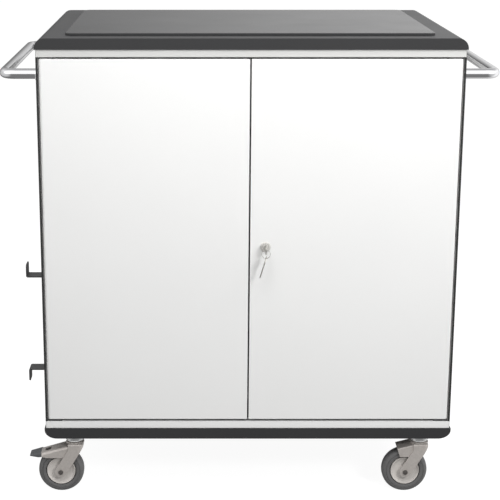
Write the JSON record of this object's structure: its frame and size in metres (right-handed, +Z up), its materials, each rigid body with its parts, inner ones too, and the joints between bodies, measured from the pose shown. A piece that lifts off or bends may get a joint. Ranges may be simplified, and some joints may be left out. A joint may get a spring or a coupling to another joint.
{
  "type": "housekeeping cart",
  "caption": "Closed lockable housekeeping cart: white two-door cabinet with graphite top and base mouldings, tubular push handles at both ends, side cord hooks and swivel castors.",
  "frame": {"origin": "on the floor, under the middle of the whole cart with its keys", "axes": "+Z up, +X to the right as seen facing the doors, +Y from the doors to the back; the doors face -Y"},
  "size_m": [1.051, 0.6874, 1.0076],
  "materials": {
    "graphite_moulding": "fine-textured moulded ABS in graphite grey",
    "top_pad": "satin moulded plastic in graphite grey",
    "white_laminate": "white melamine-faced board, satin",
    "black_core_laminate": "thin compact laminate with a black core and black edges",
    "aluminium": "natural extruded",
    "polished_stainless": "polished stainless tube",
    "dark_coated_steel": "dark grey powder coat",
    "nickel_plate": "bright nickel plate",
    "zinc_plated_steel": "zinc plated",
    "castor_steel": "zinc-plated pressed steel, satin",
    "tyre_rubber": "grey solid rubber",
    "rim_plastic": "light grey moulded polypropylene"
  },
  "bodies": {
    "cabinet": {"top_cover": "graphite_moulding", "top_pad": "top_pad", "roof_board": "white_laminate", "floor_board": "white_laminate", "base_plinth": "graphite_moulding", "side_panel_left": "black_core_laminate", "side_panel_right": "black_core_laminate", "back_panel": "white_laminate", "shelf_lower": "white_laminate", "shelf_upper": "white_laminate", "shelf_rail_lower_left": "aluminium", "shelf_rail_lower_right": "aluminium", "shelf_rail_upper_left": "aluminium", "shelf_rail_upper_right": "aluminium", "push_handle_left": "polished_stainless", "push_handle_right": "polished_stainless", "cord_hook_upper": "dark_coated_steel", "cord_hook_lower": "dark_coated_steel", "door_pivot_lower_left": "dark_coated_steel", "door_pivot_lower_right": "dark_coated_steel", "door_pivot_upper_left": "dark_coated_steel", "door_pivot_upper_right": "dark_coated_steel", "castor_mount_front_left": "zinc_plated_steel", "castor_mount_front_right": "zinc_plated_steel", "castor_mount_rear_left": "zinc_plated_steel", "castor_mount_rear_right": "zinc_plated_steel"},
    "left_door": {"door_left": "white_laminate", "lock_strike": "zinc_plated_steel", "bolt_guide_upper": "zinc_plated_steel", "bolt_guide_lower": "zinc_plated_steel"},
    "right_door": {"door_right": "white_laminate", "lock_body": "nickel_plate", "lock_nut": "nickel_plate"},
    "lock_cylinder": {"lock_plug": "nickel_plate", "lock_cam": "zinc_plated_steel"},
    "inserted_key": {"key": "nickel_plate"},
    "ring": {"key_ring": "nickel_plate"},
    "hanging_key": {"spare_key": "nickel_plate"},
    "upper_bolt": {"door_bolt_upper": "zinc_plated_steel"},
    "lower_bolt": {"door_bolt_lower": "zinc_plated_steel"},
    "front_left_swivel": {"castor_fork_front_left": "castor_steel", "castor_axle_front_left": "zinc_plated_steel"},
    "front_left_wheel": {"castor_rim_front_left": "rim_plastic", "castor_tyre_front_left": "tyre_rubber"},
    "front_left_brake": {"brake_pedal_front_left": "castor_steel"},
    "front_right_swivel": {"castor_fork_front_right": "castor_steel", "castor_axle_front_right": "zinc_plated_steel"},
    "front_right_wheel": {"castor_rim_front_right": "rim_plastic", "castor_tyre_front_right": "tyre_rubber"},
    "rear_left_swivel": {"castor_fork_rear_left": "castor_steel", "castor_axle_rear_left": "zinc_plated_steel"},
    "rear_left_wheel": {"castor_rim_rear_left": "rim_plastic", "castor_tyre_rear_left": "tyre_rubber"},
    "rear_left_brake": {"brake_pedal_rear_left": "castor_steel"},
    "rear_right_swivel": {"castor_fork_rear_right": "castor_steel", "castor_axle_rear_right": "zinc_plated_steel"},
    "rear_right_wheel": {"castor_rim_rear_right": "rim_plastic", "castor_tyre_rear_right": "tyre_rubber"}
  },
  "joints": [
    {"name": "left_door_hinge", "type": "hinge", "parent": "cabinet", "child": "left_door", "pos_m": [-0.426, -0.2958, 0.569], "axis": [0, 0, -1], "range_deg": [0, 95]},
    {"name": "right_door_hinge", "type": "hinge", "parent": "cabinet", "child": "right_door", "pos_m": [0.426, -0.2958, 0.569], "axis": [0, 0, 1], "range_deg": [0, 95]},
    {"name": "lock_turn", "type": "hinge", "parent": "right_door", "child": "lock_cylinder", "pos_m": [0.034, -0.3038, 0.565], "axis": [0, 1, 0], "range_deg": [0, 90]},
    {"name": "key_insert", "type": "slide", "parent": "lock_cylinder", "child": "inserted_key", "axis": [0, -1, 0], "range_m": [0, 0.03]},
    {"name": "ring_swing", "type": "hinge", "parent": "inserted_key", "child": "ring", "pos_m": [0.034, -0.3318, 0.565], "axis": [1, 0, 0], "range_deg": [-60, 8]},
    {"name": "spare_key_swing", "type": "hinge", "parent": "ring", "child": "hanging_key", "pos_m": [0.034, -0.3318, 0.547], "axis": [0.9976, -0.0698, 0], "range_deg": [-30, 10]},
    {"name": "upper_bolt_slide", "type": "slide", "parent": "left_door", "child": "upper_bolt", "axis": [0, 0, 1], "range_m": [0, 0.013]},
    {"name": "lower_bolt_slide", "type": "slide", "parent": "left_door", "child": "lower_bolt", "axis": [0, 0, -1], "range_m": [0, 0.013]},
    {"name": "front_left_swivel", "type": "hinge", "parent": "cabinet", "child": "front_left_swivel", "pos_m": [-0.3795, -0.2728, 0.117], "axis": [0, 0, 1], "continuous": true},
    {"name": "front_left_roll", "type": "hinge", "parent": "front_left_swivel", "child": "front_left_wheel", "pos_m": [-0.4105, -0.2728, 0.05], "axis": [0, 1, 0], "continuous": true},
    {"name": "front_left_brake_lift", "type": "hinge", "parent": "front_left_swivel", "child": "front_left_brake", "pos_m": [-0.3835, -0.2728, 0.104], "axis": [0, 1, 0], "range_deg": [0, 8]},
    {"name": "front_right_swivel", "type": "hinge", "parent": "cabinet", "child": "front_right_swivel", "pos_m": [0.3795, -0.2728, 0.117], "axis": [0, 0, 1], "continuous": true},
    {"name": "front_right_roll", "type": "hinge", "parent": "front_right_swivel", "child": "front_right_wheel", "pos_m": [0.3485, -0.2728, 0.05], "axis": [0, 1, 0], "continuous": true},
    {"name": "rear_left_swivel", "type": "hinge", "parent": "cabinet", "child": "rear_left_swivel", "pos_m": [-0.3795, 0.3102, 0.117], "axis": [0, 0, 1], "continuous": true},
    {"name": "rear_left_roll", "type": "hinge", "parent": "rear_left_swivel", "child": "rear_left_wheel", "pos_m": [-0.4105, 0.3102, 0.05], "axis": [0, 1, 0], "continuous": true},
    {"name": "rear_left_brake_lift", "type": "hinge", "parent": "rear_left_swivel", "child": "rear_left_brake", "pos_m": [-0.3835, 0.3102, 0.104], "axis": [0, 1, 0], "range_deg": [0, 8]},
    {"name": "rear_right_swivel", "type": "hinge", "parent": "cabinet", "child": "rear_right_swivel", "pos_m": [0.3795, 0.3102, 0.117], "axis": [0, 0, 1], "continuous": true},
    {"name": "rear_right_roll", "type": "hinge", "parent": "rear_right_swivel", "child": "rear_right_wheel", "pos_m": [0.3485, 0.3102, 0.05], "axis": [0, 1, 0], "continuous": true}
  ]
}
